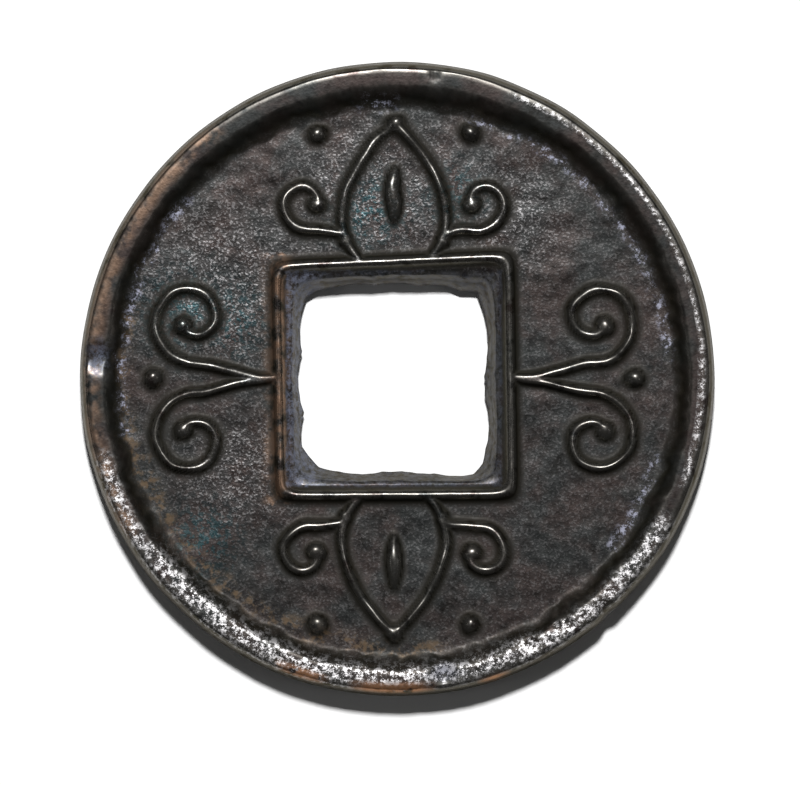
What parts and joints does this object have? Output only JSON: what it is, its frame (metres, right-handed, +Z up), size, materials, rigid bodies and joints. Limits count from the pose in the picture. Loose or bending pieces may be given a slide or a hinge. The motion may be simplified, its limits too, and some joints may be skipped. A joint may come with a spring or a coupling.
{
  "type": "square-holed cash coin",
  "caption": "Round cast bronze coin with a raised rim, a square hole in a raised square frame, and leaf and cloud-scroll relief on the obverse.",
  "frame": {"origin": "middle of the coin's round outline, on the plane that its reverse rim rests on", "axes": "+Z up out of the obverse, square to the coin; +Y towards the top leaf of the design; +X to the right seen from above"},
  "size_m": [0.028, 0.028, 0.0024],
  "materials": {
    "bronze": "dark brown and olive patina over cast bronze, worn coppery on the ridges"
  },
  "bodies": {
    "root": {"coin": "bronze"}
  },
  "joints": []
}
